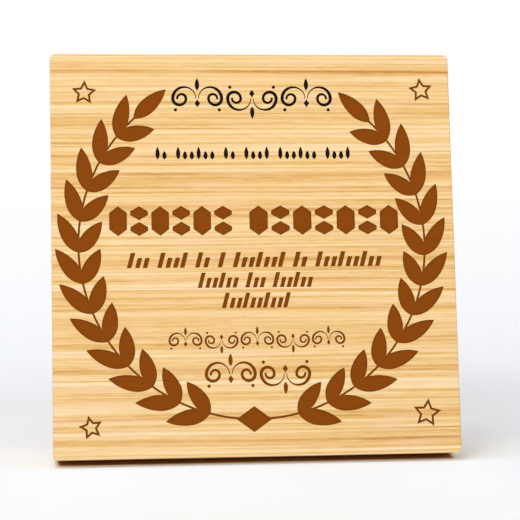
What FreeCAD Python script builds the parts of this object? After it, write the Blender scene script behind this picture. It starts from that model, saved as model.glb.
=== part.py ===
import FreeCAD, Part
import math
import os
import re

import Sketcher
from FreeCAD import Placement, Rotation, Vector

# A square award plaque: a three-ply bamboo panel, engraved and inked on its face, that leans back
# on its rear bottom edge and on a leg hinged to a cleat behind it.  The leg folds up flat.
# Frame: +X to the viewer's right, -Y towards the viewer, +Z up, origin under the middle of the
# standing plaque.  The panel is drawn upright, with its face in the XZ plane and its bottom edge on
# the X axis.  The hinge parts are drawn about the pin, with the panel on their -Y side.

SIZES = (
    ("panel_width", 150.0, "panel, side to side, mm"),
    ("panel_height", 150.0, "panel, bottom to top along its face, mm"),
    ("face_thickness", 5.0, "engraved front ply, mm"),
    ("core_thickness", 5.0, "cross-grained middle ply, mm"),
    ("back_thickness", 5.0, "rear ply, mm"),
    ("corner_radius", 2.0, "panel corners, seen from the front, mm"),
    ("arris_radius", 0.5, "eased edges of the panel, mm"),
    ("lean_angle", 12.0, "panel from upright, degrees"),
    ("opening_angle", 26.0, "leg from the panel when it stands, degrees"),
    ("cleat_inset", 20.5, "panel's top edge to the cleat, along the panel, mm"),
    ("cleat_width", 34.0, "cleat, side to side, mm"),
    ("cleat_height", 24.0, "cleat, up the panel, mm"),
    ("cleat_thickness", 6.0, "cleat, out from the panel, mm"),
    ("wood_chamfer", 0.6, "eased edges of the cleat and leg, mm"),
    ("leg_head_width", 34.0, "leg at the hinge, mm"),
    ("leg_foot_width", 24.0, "leg at the floor, mm"),
    ("fold_gap", 0.3, "panel to the folded leg, mm"),
    ("end_gap", 0.5, "hinge line to the end of the cleat, and to the end of the leg, mm"),
    ("leaf_width", 26.0, "hinge leaves, along the pin, mm"),
    ("leaf_reach", 13.0, "hinge leaves, out from the pin, mm"),
    ("leaf_thickness", 0.8, "hinge leaves, mm"),
    ("knuckle_radius", 1.6, "rolled knuckles, outside, mm"),
    ("knuckle_lift", 0.25, "wood to the knuckles, mm"),
    ("middle_knuckle", 10.0, "the leg leaf's knuckle, along the pin, mm"),
    ("knuckle_gap", 0.2, "knuckle to knuckle, along the pin, mm"),
    ("leaf_notch", 0.3, "room round a knuckle in the other leaf, mm"),
    ("stop_length", 6.5, "stop tab, from the pin, mm"),
    ("stop_gap", 0.1, "stop tab to the fixed leaf when the leg stands, mm"),
    ("pin_radius", 0.75, "hinge pin, mm"),
    ("pin_clearance", 0.04, "hinge pin to the turning knuckle, mm"),
    ("pin_head_radius", 1.2, "hinge pin heads, mm"),
    ("pin_head_length", 0.6, "hinge pin heads, mm"),
    ("screw_radius", 0.9, "screw shank, mm"),
    ("screw_head_radius", 1.9, "countersunk screw head, mm"),
    ("screw_length", 5.2, "screw, head included, mm"),
    ("screw_tip", 1.2, "screw's pointed end, mm"),
    ("screw_slot_width", 0.45, "screwdriver slot, mm"),
    ("screw_slot_depth", 0.4, "screwdriver slot, mm"),
    ("screw_spread", 8.6, "screw to the middle of the hinge, mm"),
    ("screw_reach", 8.5, "screw to the pin, mm"),
    ("engraving_depth", 0.35, "burnt engraving, mm"),
    ("ink_depth", 0.15, "black inked engraving, mm"),
    ("lines_rise", 2.0, "middle of the rows of ornament above the panel's middle, mm"),
    ("wreath_margin", 7.6, "wreath's stems to the nearest edge of the panel, mm"),
    ("wreath_rise", 3.0, "wreath's centre above the panel's middle, mm"),
    ("wreath_shift", -0.75, "wreath's centre right of the panel's middle, mm"),
    ("wreath_turn", -0.9, "wreath in the panel's plane, degrees"),
    ("wreath_pairs", 12, "leaf pairs on each branch"),
    ("wreath_start", 141.9, "top leaf pair of the left branch, degrees from +X"),
    ("wreath_sweep", 113.6, "top leaf pair to bottom one, degrees"),
    ("stem_width", 0.75, "wreath's stems, mm"),
    ("stem_tail", 11.3, "stem past the bottom leaf pair, degrees"),
    ("tip_step", 8.4, "top leaf pair to the leaf that ends the stem, degrees"),
    ("stem_overlap", 2.0, "stem into the leaf that ends it, degrees"),
    ("leaf_span_outer", 16.4, "leaf outside the stem, mm"),
    ("leaf_span_inner", 14.4, "leaf inside the stem, mm"),
    ("leaf_tilt_outer", 25.0, "leaf outside the stem, from the stem, degrees"),
    ("leaf_tilt_inner", 39.0, "leaf inside the stem, from the stem, degrees"),
    ("leaf_breadth", 5.85, "leaves, across, mm"),
    ("diamond_width", 13.0, "diamond that joins the branches, mm"),
    ("diamond_tall", 9.4, "diamond that joins the branches, mm"),
    ("star_size", 9.6, "corner stars, tip circle, mm"),
    ("star_line", 1.05, "corner stars, line, mm"),
    ("star_inset", 12.4, "corner stars in from the panel's sides, mm"),
    ("star_low", 13.1, "lower stars above the bottom edge, mm"),
    ("star_high", 14.3, "upper stars below the top edge, mm"),
)

DRAWN_RADIUS = 63.9      # the stems' radius that the engraving is drawn for, before it is fitted, mm
BELLY = 0.42             # where a leaf is widest, as a share of its length
HOOK_OUTSIDE = (0.03, 0.95, 0.36, 0.77)     # a scroll's turns, as shares of its reach
HOOK_INSIDE = (0.06, 0.83, 0.46, 0.69)
STAR_POINTS = 5
STAR_WAIST = 0.5         # inner corners of a star, as a share of its tips
SLANT = 0.27             # lean of the slanted dashes, as a share of their height
REACH = 1.0              # how far a cutting tool runs past what it cuts, mm
TOUCH = 1e-4             # places closer than this are the same, mm
CORNER_STARS = (         # side, upper or lower, turn in degrees, share of the size, moved right and up, mm
    (-1, "star_high", -3, 1.0, 0.1, -0.5),
    (1, "star_high", 6, 1.0, 1.5, 0.6),
    (-1, "star_low", 12, 0.95, 1.3, -1.6),
    (1, "star_low", -8, 1.14, -0.2, 1.6),
)
SLOT_TURNS = (25, 70)    # where the screwdriver left each screw of a pair, degrees

doc = FreeCAD.newDocument("plaque")
sheet = doc.addObject("Spreadsheet::Sheet", "Sizes")
for row, (alias, value, note) in enumerate(SIZES, start=1):
    sheet.set(f"A{row}", alias)
    sheet.set(f"B{row}", str(value))
    sheet.set(f"C{row}", note)
    sheet.setAlias(f"B{row}", alias)
doc.recompute()


def size(alias):
    """The number in a cell of the sheet."""
    return float(sheet.get(alias))


def bind(thing, prop, formula):
    """Drives a property by the sheet; a formula is cell names, numbers, + - * / and brackets."""
    thing.setExpression(prop, re.sub(r"[a-z_]{3,}", r"Sizes.\g<0>", formula))


# Sizes that follow from the driving ones.
panel_thickness = size("face_thickness") + size("core_thickness") + size("back_thickness")
wood_side = -(size("knuckle_radius") + size("knuckle_lift"))
leaf_outside = wood_side + size("leaf_thickness")
panel_side = wood_side - size("cleat_thickness")
leg_thickness = size("cleat_thickness") - size("fold_gap")
pivot_height = size("panel_height") - size("cleat_inset") - size("cleat_height") - size("end_gap")
lean = math.radians(size("lean_angle"))
leg_tilt = math.radians(size("opening_angle") - size("lean_angle"))
arris_drop = size("arris_radius") * (math.cos(lean) + math.sin(lean) - 1)

upright_to_leaning = Placement(
    Vector(0, 0, panel_thickness * math.sin(lean) - arris_drop),
    Rotation(Vector(1, 0, 0), -size("lean_angle")))
pin_on_panel = Placement(Vector(0, panel_thickness - panel_side, pivot_height), Rotation())
leg_opening = Placement(Vector(), Rotation(Vector(1, 0, 0), size("opening_angle")))

lines_centre = Vector(0, size("panel_height") / 2 + size("lines_rise"), 0)
wreath_centre = Vector(size("wreath_shift"), size("panel_height") / 2 + size("wreath_rise"), 0)
wreath_room = min(size("panel_width") / 2, size("panel_height") - wreath_centre.y)
drawing_scale = (wreath_room - size("wreath_margin")) / DRAWN_RADIUS

on_panel = upright_to_leaning
at_pin = upright_to_leaning.multiply(pin_on_panel)
on_leg = at_pin.multiply(leg_opening)
pin_above_floor = at_pin.Base.z


# ---- Sketches and features

def new_body(name, placement):
    """An empty body that stands at a placement."""
    body = doc.addObject("PartDesign::Body", name)
    body.Label = name
    body.Placement = placement
    return body


def new_sketch(body, name, role="XZ_Plane", offset=Vector(), turn=0.0):
    """A sketch on one of the body's own origin planes, moved and turned within that plane."""
    sketch = body.newObject("Sketcher::SketchObject", name)
    plane = next(item for item in body.Origin.OriginFeatures if item.Role == role)
    sketch.AttachmentSupport = [(plane, "")]
    sketch.MapMode = "FlatFace"
    sketch.AttachmentOffset = Placement(offset, Rotation(Vector(0, 0, 1), turn))
    return sketch


def add_loops(sketch, loops, scale=1.0):
    """Draws closed outlines, each a list of lines and arcs, scaled about the sketch's origin."""
    curves = [curve for loop in loops for curve in loop]
    for curve in curves:
        curve.scale(Vector(), scale)
    sketch.addGeometry(curves, False)


def rectangle(sketch, width, tall):
    """A rectangle on the sketch's horizontal axis, even about its vertical one, sized by two cells."""
    half = size(width) / 2
    add_loops(sketch, [polygon([(-half, 0), (half, 0), (half, size(tall)), (-half, size(tall))])])
    for side in range(4):
        sketch.addConstraint(Sketcher.Constraint("Coincident", side, 2, (side + 1) % 4, 1))
    for side in (1, 3):
        sketch.addConstraint(Sketcher.Constraint("Vertical", side))
    sketch.addConstraint(Sketcher.Constraint("Horizontal", 2))
    sketch.addConstraint(Sketcher.Constraint("Symmetric", 0, 1, 0, 2, -1, 1))
    for name, kind, side, cell in (("width", "DistanceX", 0, width), ("tall", "DistanceY", 1, tall)):
        fixed = sketch.addConstraint(Sketcher.Constraint(kind, side, 1, side, 2, size(cell)))
        sketch.renameConstraint(fixed, name)
        bind(sketch, f"Constraints.{name}", cell)


def pad(body, sketch, length, backwards=True):
    """Pads a sketch by a cell; on the XZ plane, backwards is towards +Y."""
    feature = body.newObject("PartDesign::Pad", "Pad")
    feature.Profile = sketch
    feature.Reversed = backwards
    bind(feature, "Length", length)
    doc.recompute()
    return feature


def pocket(body, sketch, name, length):
    """Cuts a sketch into the body by a cell; from the XZ plane it cuts towards +Y."""
    before = body.Tip.Shape.Volume
    feature = body.newObject("PartDesign::Pocket", name)
    feature.Profile = sketch
    bind(feature, "Length", length)
    doc.recompute()
    if not feature.Shape.Volume < before:
        raise RuntimeError(f"{body.Label}: {name} cuts nothing")
    return feature


def pocket_through(body, sketch, name):
    """Cuts a sketch right through the body, both ways."""
    before = body.Tip.Shape.Volume
    feature = body.newObject("PartDesign::Pocket", name)
    feature.Profile = sketch
    feature.Type = "ThroughAll"
    feature.Midplane = True
    doc.recompute()
    if not feature.Shape.Volume < before:
        raise RuntimeError(f"{body.Label}: {name} cuts nothing")
    return feature


def dress(body, kind, cell, wanted):
    """A Fillet or Chamfer, sized by a cell, on the body's edges that a test picks."""
    base = body.Tip
    edges = [f"Edge{index}" for index, edge in enumerate(base.Shape.Edges, start=1) if wanted(edge)]
    if not edges:
        raise RuntimeError(f"{body.Label}: no edge to {kind.lower()}")
    feature = body.newObject(f"PartDesign::{kind}", kind)
    feature.Base = (base, edges)
    bind(feature, "Radius" if kind == "Fillet" else "Size", cell)
    doc.recompute()
    return feature


def at_y(depth):
    """Picks the edges that lie in the plane Y = depth."""
    return lambda edge: all(abs(vertex.Y - depth) < TOUCH for vertex in edge.Vertexes)


def along_y(edge):
    """Picks the straight edges that run along Y."""
    start, end = edge.Vertexes[0], edge.Vertexes[-1]
    return abs(start.Y - end.Y) > TOUCH and math.hypot(start.X - end.X, start.Z - end.Z) < TOUCH


# ---- Outlines for the engraving

def polygon(points):
    """A closed outline of straight lines through (x, y) points."""
    corners = [Vector(x, y, 0) for x, y in points]
    return [Part.LineSegment(a, b) for a, b in zip(corners, corners[1:] + corners[:1])]


def polar(radius, degrees):
    """The point at a radius and angle."""
    turn = math.radians(degrees)
    return Vector(radius * math.cos(turn), radius * math.sin(turn), 0)


def arc_from(start, end, centre):
    """The shorter arc between two points about a centre."""
    middle = ((start - centre) + (end - centre)).normalize() * (start - centre).Length
    return Part.Arc(start, centre + middle, end)


def leaf(base, heading, span, breadth):
    """A pointed leaf: each side is two arcs that meet, running along the leaf, where it is widest."""
    along, across = polar(1, heading), polar(1, heading + 90)
    belly, half = BELLY * span, breadth / 2
    tip = base + along * span
    sides = []
    for side in (1, -1):
        widest = base + along * belly + across * (side * half)
        for end, run in ((base, belly), (tip, span - belly)):
            radius = (run ** 2 + half ** 2) / (2 * half)
            sides.append(arc_from(end, widest, widest - across * (side * radius)))
    return sides


def dot(x, y, radius):
    """A round dot, as two half circles."""
    left, right = Vector(x - radius, y, 0), Vector(x + radius, y, 0)
    return [Part.Arc(left, Vector(x, y + radius, 0), right), Part.Arc(right, Vector(x, y - radius, 0), left)]


def diamond(x, y, width, tall):
    """A diamond about its middle."""
    return polygon([(x - width / 2, y), (x, y - tall / 2), (x + width / 2, y), (x, y + tall / 2)])


def star(x, y, radius, turn):
    """A star about its middle, with one tip turned from straight up."""
    points = []
    for index in range(2 * STAR_POINTS):
        reach = radius * (STAR_WAIST if index % 2 else 1)
        tip = polar(reach, 90 + turn + index * 180 / STAR_POINTS)
        points.append((x + tip.x, y + tip.y))
    return polygon(points)


def stem(radius, start, end, width):
    """A band along a circle about the sketch's origin."""
    inner, outer = radius - width / 2, radius + width / 2
    middle = (start + end) / 2
    return [
        Part.Arc(polar(inner, start), polar(inner, middle), polar(inner, end)),
        Part.LineSegment(polar(inner, end), polar(outer, end)),
        Part.Arc(polar(outer, end), polar(outer, middle), polar(outer, start)),
        Part.LineSegment(polar(outer, start), polar(inner, start)),
    ]


def hook(x, y, facing, up, reach):
    """A tapered band that arches from x along y and curls in on itself in three half turns.

    facing is 1 to run towards +X and -1 towards -X; up is 1 to arch upwards and -1 downwards.
    """
    def along(share):
        return Vector(x + facing * share * reach, y, 0)

    def half_turn(start, end, side):
        middle = (along(start) + along(end)) * 0.5 + Vector(0, side * up * abs(end - start) / 2 * reach, 0)
        return Part.Arc(along(start), middle, along(end))

    outside, inside = HOOK_OUTSIDE, HOOK_INSIDE
    return [
        half_turn(outside[0], outside[1], 1),
        half_turn(outside[1], outside[2], -1),
        half_turn(outside[2], outside[3], 1),
        half_turn(outside[3], inside[3], -1),
        half_turn(inside[3], inside[2], 1),
        half_turn(inside[2], inside[1], -1),
        half_turn(inside[1], inside[0], 1),
        Part.LineSegment(along(inside[0]), along(outside[0])),
    ]


def running_scroll(y, reach, pairs):
    """A row of paired hooks, up and down by turns, a leaf rising between each two and a dot below."""
    one = reach / pairs
    loops = []
    for pair in range(pairs):
        x = -reach + (2 * pair + 1) * one
        up = 1 if pair % 2 == 0 else -1
        for facing in (-1, 1):
            loops.append(hook(x, y, facing, up, one))
            loops.append(dot(x + facing * 0.80 * one, y - up * 0.42 * one, 0.06 * one))
        loops.append(leaf(Vector(x, y + up * 0.30 * one, 0), up * 90, 0.46 * one, 0.16 * one))
        loops.append(diamond(x, y - up * 0.18 * one, 0.20 * one, 0.30 * one))
    return loops


def dashes(y, reach, tall, groups, outline):
    """Marks in groups, evenly pitched from -reach to reach, with one pitch left out between groups.

    Every third mark stands half as tall again.  outline(x, y, tall, pitch) draws one.
    """
    places = sum(groups) + len(groups) - 1
    pitch = 2 * reach / places
    loops = []
    place = 0
    for count in groups:
        for mark in range(count):
            x = -reach + (place + 0.5) * pitch
            loops.append(outline(x, y, tall * (1.5 if mark % 3 == 0 else 1.0), pitch))
            place += 1
        place += 1
    return loops


def seed(x, y, tall, pitch):
    """An upright pointed seed standing on y."""
    return leaf(Vector(x, y, 0), 90, tall, 0.62 * pitch)


def slanted_bar(x, y, tall, pitch):
    """A slanted bar standing on y."""
    half, lean_over = 0.3 * pitch, SLANT * tall
    low, high = x - lean_over / 2, x + lean_over / 2
    return polygon([(low - half, y), (low + half, y), (high + half, y + tall), (high - half, y + tall)])


def pointed_bar(x, y, width, tall, point):
    """An upright bar standing on y, pointed at both ends."""
    half = width / 2
    return polygon([(x - half, y + point), (x, y), (x + half, y + point),
                    (x + half, y + tall - point), (x, y + tall), (x - half, y + tall - point)])


def bold_band(left, count, pitch, y, tall):
    """Solid bars with pointed ends, by turns one tall one and two short ones stacked."""
    loops = []
    for index in range(count):
        x = left + (index + 0.5) * pitch
        width = 0.84 * pitch
        if index % 2 == 0:
            loops.append(pointed_bar(x, y, width, tall, 0.22 * tall))
        else:
            loops.append(pointed_bar(x, y, width, 0.47 * tall, 0.17 * tall))
            loops.append(pointed_bar(x, y + 0.53 * tall, width, 0.47 * tall, 0.17 * tall))
    return loops


# ---- The panel's three plies

def build_ply(name, front, thickness):
    """A plain ply, its front face at a depth behind the panel's face."""
    body = new_body(name, on_panel.multiply(Placement(Vector(0, front, 0), Rotation())))
    outline = new_sketch(body, name + "_outline")
    rectangle(outline, "panel_width", "panel_height")
    pad(body, outline, thickness)
    dress(body, "Fillet", "corner_radius", along_y)
    return body


def engrave_wreath(body):
    """Two laurel branches that rise from a diamond, with the leaves patterned up the stems."""
    radius = DRAWN_RADIUS
    start = size("wreath_start")
    end = start + size("wreath_sweep")

    turn = size("wreath_turn")
    stems = new_sketch(body, "wreath_stems", offset=wreath_centre, turn=turn)
    first, last = start - size("tip_step"), end + size("stem_tail")
    inside_leaf = first - size("stem_overlap")
    add_loops(stems, [
        stem(radius, inside_leaf, last, size("stem_width")),
        stem(radius, 180 - last, 180 - inside_leaf, size("stem_width")),
    ], drawing_scale)
    pocket(body, stems, "StemPocket", "engraving_depth")

    # One leaf at the left branch's top and one at the right branch's bottom: one turn makes both rows.
    leaves = []
    for row, side in (("outer", 1), ("inner", -1)):
        sketch = new_sketch(body, f"wreath_{row}_leaves", offset=wreath_centre, turn=turn)
        tilt = side * size(f"leaf_tilt_{row}")
        span, breadth = size(f"leaf_span_{row}"), size("leaf_breadth")
        add_loops(sketch, [
            leaf(polar(radius, start), start - 90 + tilt, span, breadth),
            leaf(polar(radius, 180 - end), 180 - end + 90 - tilt, span, breadth),
        ], drawing_scale)
        leaves.append(pocket(body, sketch, row + "LeafPocket", "engraving_depth"))

    branches = body.newObject("PartDesign::PolarPattern", "Branches")
    branches.Originals = leaves
    branches.Axis = (stems, ["N_Axis"])
    bind(branches, "Angle", "wreath_sweep")
    bind(branches, "Occurrences", "wreath_pairs")
    body.Tip = branches
    doc.recompute()

    ends = new_sketch(body, "wreath_ends", offset=wreath_centre, turn=turn)
    loops = [diamond(0, -radius, size("diamond_width"), size("diamond_tall"))]
    for place, heading in ((first, first - 90), (180 - first, 270 - first)):
        loops.append(leaf(polar(radius, place), heading, size("leaf_span_outer"), size("leaf_breadth")))
    add_loops(ends, loops, drawing_scale)
    pocket(body, ends, "EndPocket", "engraving_depth")


def engrave_stars(body):
    """An outlined star in each corner, each turned a little its own way."""
    stars = new_sketch(body, "corner_stars")
    line = size("star_line") / math.sin(math.radians(90 / STAR_POINTS * 2))
    inset = size("panel_width") / 2 - size("star_inset")
    heights = {"star_high": size("panel_height") - size("star_high"), "star_low": size("star_low")}
    loops = []
    for side, level, turn, share, right, up in CORNER_STARS:
        x, y, radius = side * inset + right, heights[level] + up, size("star_size") / 2 * share
        loops.append(star(x, y, radius, turn))
        loops.append(star(x, y, radius - line, turn))
    add_loops(stars, loops)
    pocket(body, stars, "StarPocket", "engraving_depth")


def engrave_lines(body):
    """Rows of plain ornament where the award's wording would go."""
    burnt = {
        "bold_band": bold_band(-54.0, 6, 7.7, 4.5, 11.0) + bold_band(-2.6, 7, 8.1, 4.5, 11.0),
        "slanted_rows": (dashes(-7.3, 47.0, 3.7, (3, 4, 2, 1, 7, 2, 9), slanted_bar)
                         + dashes(-14.8, 21.2, 3.7, (6, 3, 6), slanted_bar)
                         + dashes(-22.3, 12.5, 3.7, (10,), slanted_bar)),
        "scroll_rows": running_scroll(-34.1, 32.8, 5) + running_scroll(-46.5, 20.0, 2),
    }
    inked = {
        "top_scroll": running_scroll(55.7, 30.5, 3),
        "seed_row": dashes(32.8, 36.6, 3.2, (2, 6, 2, 4, 6, 4), seed),
    }
    for rows, depth in ((burnt, "engraving_depth"), (inked, "ink_depth")):
        for name, loops in rows.items():
            sketch = new_sketch(body, name, offset=lines_centre)
            add_loops(sketch, loops, drawing_scale)
            pocket(body, sketch, name + "_pocket", depth)


def build_face():
    """The engraved front ply."""
    body = build_ply("face_ply", 0, "face_thickness")
    dress(body, "Fillet", "arris_radius", at_y(0))
    engrave_wreath(body)
    engrave_stars(body)
    engrave_lines(body)
    return body


def build_back():
    """The rear ply, eased round its rear face."""
    front = size("face_thickness") + size("core_thickness")
    body = build_ply("back_ply", front, "back_thickness")
    dress(body, "Fillet", "arris_radius", at_y(size("back_thickness")))
    return body


# ---- The wooden cleat and leg

def drill_for_screws(body, name, height):
    """Two holes for the leaf's screws, from the wood's rear face."""
    holes = new_sketch(body, name, offset=Vector(0, 0, -wood_side))
    spread = size("screw_spread")
    add_loops(holes, [dot(side * spread, height, size("screw_radius")) for side in (-1, 1)])
    drilled = body.newObject("PartDesign::Pocket", name + "_pocket")
    drilled.Profile = holes
    drilled.Reversed = True
    bind(drilled, "Length", "screw_length - leaf_thickness")
    doc.recompute()


def build_cleat():
    """The block glued to the panel that the hinge hangs from."""
    body = new_body("hinge_cleat", at_pin)
    outline = new_sketch(body, "cleat_outline", offset=Vector(0, size("end_gap"), -panel_side))
    rectangle(outline, "cleat_width", "cleat_height")
    pad(body, outline, "cleat_thickness")
    dress(body, "Chamfer", "wood_chamfer", at_y(wood_side))
    drill_for_screws(body, "cleat_holes", size("screw_reach"))
    return body


def build_leg():
    """The tapered leg, its foot cut level with the floor when it stands open."""
    body = new_body("easel_leg", on_leg)
    top = -size("end_gap")
    inside = wood_side - leg_thickness

    def floor_at(y):
        """The floor's height in the leg's own upright frame."""
        return -(pin_above_floor + y * math.sin(leg_tilt)) / math.cos(leg_tilt)

    low = min(floor_at(inside), floor_at(wood_side))
    half_head, half_foot = size("leg_head_width") / 2, size("leg_foot_width") / 2
    outline = new_sketch(body, "leg_outline", offset=Vector(0, 0, -inside))
    add_loops(outline, [polygon([
        (-half_foot, low), (half_foot, low), (half_head, top), (-half_head, top)])])
    pad(body, outline, "cleat_thickness - fold_gap")

    foot = new_sketch(body, "leg_foot", role="YZ_Plane")
    near, far = inside - REACH, wood_side + REACH
    add_loops(foot, [polygon([
        (near, low - REACH), (far, low - REACH), (far, floor_at(far)), (near, floor_at(near))])])
    pocket_through(body, foot, "FootPocket")
    dress(body, "Chamfer", "wood_chamfer", long_edges(low))
    drill_for_screws(body, "leg_holes", -size("screw_reach"))
    return body


def long_edges(low):
    """Picks the straight edges that run most of the way from the top to a low level."""
    return lambda edge: abs(edge.Vertexes[0].Z - edge.Vertexes[-1].Z) > 0.8 * abs(low)


# ---- The hinge

def primitive(kind, name, placement, **formulas):
    """A Part primitive, with properties driven by the sheet."""
    thing = doc.addObject("Part::" + kind, name)
    thing.Placement = placement
    for prop, formula in formulas.items():
        bind(thing, prop, formula)
    return thing


def box(name, corner, length, width, height, frame=Placement()):
    """A box from its lowest corner, in a frame; its sides are formulas, along X, Y and Z."""
    placement = frame.multiply(Placement(corner, Rotation()))
    return primitive("Box", name, placement, Length=length, Width=width, Height=height)


def along_pin(name, start, radius, length):
    """A cylinder on the pin's axis, from X = start."""
    placement = Placement(Vector(start, 0, 0), Rotation(Vector(0, 1, 0), 90))
    return primitive("Cylinder", name, placement, Radius=radius, Height=length)


def fuse(name, pieces):
    """One shape from several."""
    whole = doc.addObject("Part::MultiFuse", name)
    whole.Shapes = pieces
    return whole


def cut(name, base, tools, placement=Placement()):
    """A shape with others cut out of it, standing at a placement."""
    rest = doc.addObject("Part::Cut", name)
    rest.Base = base
    rest.Tool = fuse(name + "_tools", tools)
    rest.Label = name
    rest.Placement = placement
    return rest


def screw_frame(side, height):
    """A screw's frame on a leaf: Z out of the wood, origin at the wood's surface."""
    place = Vector(side * size("screw_spread"), wood_side, height)
    return Placement(place, Rotation(Vector(1, 0, 0), -90))


def screw_sinks(name, height):
    """The countersinks for a leaf's two screws."""
    return [
        primitive("Cone", f"{name}_sink", screw_frame(side, height),
                  Radius1="screw_radius", Radius2="screw_head_radius", Height="leaf_thickness")
        for side in (-1, 1)
    ]


def build_screws(name, height, placement):
    """Two countersunk wood screws, their heads level with the leaf."""
    metal, slots = [], []
    shank = size("screw_length") - size("leaf_thickness") - size("screw_tip")
    for side, turn in zip((-1, 1), SLOT_TURNS):
        frame = screw_frame(side, height)

        def raised(rise):
            return frame.multiply(Placement(Vector(0, 0, rise), Rotation()))

        metal.append(primitive("Cone", name + "_head", frame, Radius1="screw_radius",
                               Radius2="screw_head_radius", Height="leaf_thickness"))
        metal.append(primitive("Cylinder", name + "_shank", raised(-shank), Radius="screw_radius",
                               Height="screw_length - leaf_thickness - screw_tip"))
        metal.append(primitive("Cone", name + "_tip", raised(-shank - size("screw_tip")),
                               Radius1="screw_radius / 5", Radius2="screw_radius", Height="screw_tip"))
        turned = frame.multiply(Placement(Vector(), Rotation(Vector(0, 0, 1), turn)))
        corner = Vector(-size("screw_head_radius") - REACH, -size("screw_slot_width") / 2,
                        size("leaf_thickness") - size("screw_slot_depth"))
        slots.append(box(name + "_slot", corner, f"2 * (screw_head_radius + {REACH})",
                         "screw_slot_width", f"screw_slot_depth + {REACH}", turned))
    return cut(name, fuse(name + "_metal", metal), slots, placement)


def build_leaf(name, upward, extras, notches, bore, placement):
    """A hinge leaf: a plate on the wood and knuckles round the pin, with notches for the other's."""
    half = size("leaf_width") / 2
    low = 0 if upward else -size("leaf_reach")
    plate = box(name + "_plate", Vector(-half, wood_side, low), "leaf_width", "leaf_thickness", "leaf_reach")
    roll = along_pin(name + "_roll", -half, "knuckle_radius", "leaf_width")
    hole = along_pin(name + "_bore", -half - REACH, bore, f"leaf_width + {2 * REACH}")
    height = size("screw_reach") if upward else -size("screw_reach")
    tools = [hole] + notches + screw_sinks(name, height)
    return cut(name, fuse(name + "_metal", [plate, roll] + extras), tools, placement)


def knuckle_notch(name, start, length):
    """Room for the other leaf's knuckle, from X = start."""
    around = size("knuckle_radius") + size("leaf_notch")
    corner = Vector(start, wood_side - REACH, -around)
    return box(name, corner, length, f"2 * (knuckle_radius + {REACH}) + knuckle_lift",
               "2 * (knuckle_radius + leaf_notch)")


def build_fixed_leaf():
    """The leaf on the cleat, with a knuckle at each end."""
    start = -size("middle_knuckle") / 2 - size("knuckle_gap")
    notch = knuckle_notch("fixed_notch", start, "middle_knuckle + 2 * knuckle_gap")
    return build_leaf("hinge_fixed_leaf", True, [], [notch], "pin_radius", at_pin)


def build_moving_leaf():
    """The leaf on the leg, with one knuckle and a tab that stops on the fixed leaf."""
    half, middle = size("leaf_width") / 2, size("middle_knuckle") / 2
    side = f"(leaf_width - middle_knuckle) / 2 + {REACH}"
    notches = [knuckle_notch("moving_notch", middle, side),
               knuckle_notch("moving_notch", -half - REACH, side)]
    tab_corner = Vector(-middle, leaf_outside + size("stop_gap"), 0)
    tab = box("stop_tab", tab_corner, "middle_knuckle", "leaf_thickness", "stop_length",
              leg_opening.inverse())
    bore = "pin_radius + pin_clearance"
    return build_leaf("hinge_moving_leaf", False, [tab], notches, bore, on_leg)


def build_pin():
    """The hinge pin, headed at both ends."""
    half = size("leaf_width") / 2
    shaft = along_pin("pin_shaft", -half, "pin_radius", "leaf_width")
    heads = []
    for side in (-1, 1):
        placement = Placement(Vector(side * half, 0, 0), Rotation(Vector(0, 1, 0), side * 90))
        heads.append(primitive("Cone", "pin_head", placement, Radius1="pin_head_radius",
                               Radius2="0.7 * pin_head_radius", Height="pin_head_length"))
    pin = fuse("hinge_pin", [shaft] + heads)
    pin.Label = "hinge_pin"
    pin.Placement = at_pin
    return pin


# ---- The whole plaque

def build_all():
    """Every sub-part, as the objects whose shapes are the nodes."""
    return [
        build_face(),
        build_ply("core_ply", size("face_thickness"), "core_thickness"),
        build_back(),
        build_cleat(),
        build_leg(),
        build_fixed_leaf(),
        build_moving_leaf(),
        build_pin(),
        build_screws("cleat_screws", size("screw_reach"), at_pin),
        build_screws("leg_screws", -size("screw_reach"), on_leg),
    ]


def centre_front_to_back(parts):
    """Moves every sub-part along Y, so that the origin is midway between the front and the back."""
    boxes = [part.Shape.optimalBoundingBox(False) for part in parts]
    middle = (min(item.YMin for item in boxes) + max(item.YMax for item in boxes)) / 2
    for part in parts:
        part.Placement.Base.y -= middle
    doc.recompute()


def check(parts):
    """Stops the build if any object failed or any sub-part is not sound."""
    for thing in doc.Objects:
        if {"Invalid", "Error"} & set(thing.State):
            raise RuntimeError(f"{thing.Label} did not build")
    for part in parts:
        if part.Shape.isNull() or not part.Shape.isValid() or not part.Shape.Solids:
            raise RuntimeError(f"{part.Label} is not a sound solid")


doc.recompute()
parts = build_all()
doc.recompute()
centre_front_to_back(parts)
check(parts)
os.makedirs("parts", exist_ok=True)
for part in parts:
    part.Shape.exportStep(f"parts/{part.Label}.step")
    box_ = part.Shape.optimalBoundingBox(False)
    print(f"{part.Label}: {len(part.Shape.Solids)} solid(s), {part.Shape.Volume:.1f} mm3, "
          f"Y {box_.YMin:.2f} to {box_.YMax:.2f}, Z {box_.ZMin:.2f} to {box_.ZMax:.2f}")
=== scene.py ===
"""The looks of a bamboo award plaque that leans back on a hinged leg.

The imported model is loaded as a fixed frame.  The wooden parts keep their own shapes and get their
timber here; the hinge, its pin and its screws are modelled afresh as rolled, headed and slotted
metal.  Lengths are in metres unless a name says millimetres.
"""

import logging
import math
from dataclasses import dataclass, field
from enum import Enum
from typing import Any, Callable, Sequence

import bpy
from mathutils import Matrix, Vector


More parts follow.
